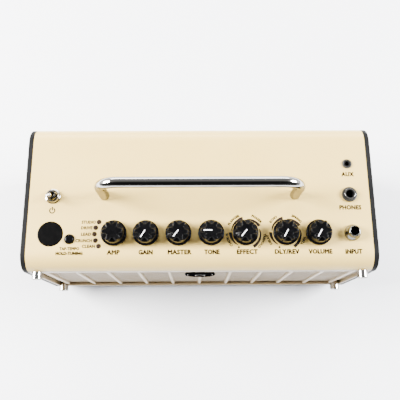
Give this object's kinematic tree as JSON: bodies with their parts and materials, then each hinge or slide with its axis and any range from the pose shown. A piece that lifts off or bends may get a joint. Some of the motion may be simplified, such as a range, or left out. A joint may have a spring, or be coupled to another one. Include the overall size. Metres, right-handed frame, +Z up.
{
  "type": "desktop guitar amplifier",
  "caption": "Compact guitar practice amplifier: cream control panel with fluted knobs, bent-rod handle, ribbed front grille over two small speakers, black side cheeks.",
  "frame": {"origin": "middle of the footprint, front pin tips to rear face and cheek to cheek, on the surface that the feet stand on", "axes": "+Z up, -Y towards the grille (front), +X to the right as seen from the front"},
  "size_m": [0.2724, 0.1216, 0.167],
  "materials": {
    "cream_panel": "satin cream paint, very fine orange peel",
    "black_shell": "fine textured black moulding",
    "beige_metal": "satin warm beige paint",
    "bright_chrome": "polished plating",
    "badge_black": "gloss black with fine bright rings",
    "gloss_black": "gloss black moulding",
    "jack_black": "satin black",
    "board_black": "plain black",
    "display_window": "smoked window",
    "lamp_lens": "dark red-brown lens, unlit",
    "circuit_green": "solder mask",
    "brass_parts": "turned",
    "brushed_metal": "turned steel",
    "dark_steel": "black zinc",
    "cone_paper": "pressed black paper",
    "soft_rubber": "matt rubber"
  },
  "bodies": {
    "case": {"amp_encoder": "brushed_metal", "amp_leds": "lamp_lens", "aux_jack_body": "board_black", "aux_jack_ring": "jack_black", "badge": "badge_black", "baffle": "board_black", "battery_box": "black_shell", "battery_contacts": "bright_chrome", "board_standoffs": "brass_parts", "bottom_chassis": "black_shell", "carry_handle": "bright_chrome", "case_screws": "dark_steel", "control_board": "circuit_green", "dc_jack": "board_black", "display_lens": "display_window", "display_module": "board_black", "feet": "soft_rubber", "foot_screws": "dark_steel", "grille": "beige_metal", "grille_frame": "beige_metal", "grille_pins": "bright_chrome", "handle_screws": "dark_steel", "input_jack_barrel": "bright_chrome", "input_jack_body": "board_black", "main_board": "circuit_green", "phones_jack_body": "board_black", "phones_jack_nut": "jack_black", "pot_bodies": "brushed_metal", "pot_nuts": "brushed_metal", "rear_panel": "black_shell", "side_cheek_left": "black_shell", "side_cheek_right": "black_shell", "speaker_baskets": "dark_steel", "speaker_magnets": "dark_steel", "speaker_screws": "dark_steel", "speaker_surrounds": "soft_rubber", "tap_switch": "board_black", "toggle_body": "bright_chrome", "toggle_nut": "bright_chrome", "top_panel": "cream_panel", "usb_socket": "bright_chrome"},
    "amp_control": {"amp_knob": "gloss_black", "amp_shaft": "brushed_metal"},
    "gain_control": {"gain_knob": "gloss_black", "gain_shaft": "brushed_metal"},
    "master_control": {"master_knob": "gloss_black", "master_shaft": "brushed_metal"},
    "tone_control": {"tone_knob": "gloss_black", "tone_shaft": "brushed_metal"},
    "effect_control": {"effect_knob": "gloss_black", "effect_shaft": "brushed_metal"},
    "delay_control": {"delay_knob": "gloss_black", "delay_shaft": "brushed_metal"},
    "volume_control": {"volume_knob": "gloss_black", "volume_shaft": "brushed_metal"},
    "power_toggle": {"toggle_lever": "bright_chrome"},
    "tap": {"tap_button": "gloss_black"},
    "cone_left": {"speaker_cone_left": "cone_paper"},
    "cone_right": {"speaker_cone_right": "cone_paper"},
    "battery_cover": {"battery_door": "black_shell"}
  },
  "joints": [
    {"name": "amp_turn", "type": "hinge", "parent": "case", "child": "amp_control", "pos_m": [-0.06557, -0.028, 0.128], "axis": [0, 0, -1], "continuous": true},
    {"name": "gain_turn", "type": "hinge", "parent": "case", "child": "gain_control", "pos_m": [-0.04117, -0.028, 0.128], "axis": [0, 0, -1], "range_deg": [-1, 299]},
    {"name": "master_turn", "type": "hinge", "parent": "case", "child": "master_control", "pos_m": [-0.0164, -0.028, 0.128], "axis": [0, 0, -1], "range_deg": [-7.6, 292.4]},
    {"name": "tone_turn", "type": "hinge", "parent": "case", "child": "tone_control", "pos_m": [0.0085, -0.028, 0.128], "axis": [0, 0, -1], "range_deg": [-60.8, 239.2]},
    {"name": "effect_turn", "type": "hinge", "parent": "case", "child": "effect_control", "pos_m": [0.0346, -0.028, 0.128], "axis": [0, 0, -1], "range_deg": [-10, 290]},
    {"name": "delay_turn", "type": "hinge", "parent": "case", "child": "delay_control", "pos_m": [0.0654, -0.028, 0.128], "axis": [0, 0, -1], "range_deg": [0, 300]},
    {"name": "volume_turn", "type": "hinge", "parent": "case", "child": "volume_control", "pos_m": [0.09055, -0.028, 0.128], "axis": [0, 0, -1], "range_deg": [0, 300]},
    {"name": "power_throw", "type": "hinge", "parent": "case", "child": "power_toggle", "pos_m": [-0.11385, 0.00165, 0.129], "axis": [-1, 0, 0], "range_deg": [0, 20]},
    {"name": "tap_press", "type": "slide", "parent": "case", "child": "tap", "axis": [0, 0, -1], "range_m": [0, 0.0008], "stiffness_N_per_m": 400, "springref_m": -0.001},
    {"name": "cone_left_stroke", "type": "slide", "parent": "case", "child": "cone_left", "axis": [0, -1, 0], "range_m": [-0.0015, 0.0015], "stiffness_N_per_m": 1200},
    {"name": "cone_right_stroke", "type": "slide", "parent": "case", "child": "cone_right", "axis": [0, -1, 0], "range_m": [-0.0015, 0.0015], "stiffness_N_per_m": 1200},
    {"name": "battery_door_swing", "type": "hinge", "parent": "case", "child": "battery_cover", "pos_m": [0, -0.00975, 0.008], "axis": [-1, 0, 0], "range_deg": [0, 90]}
  ]
}
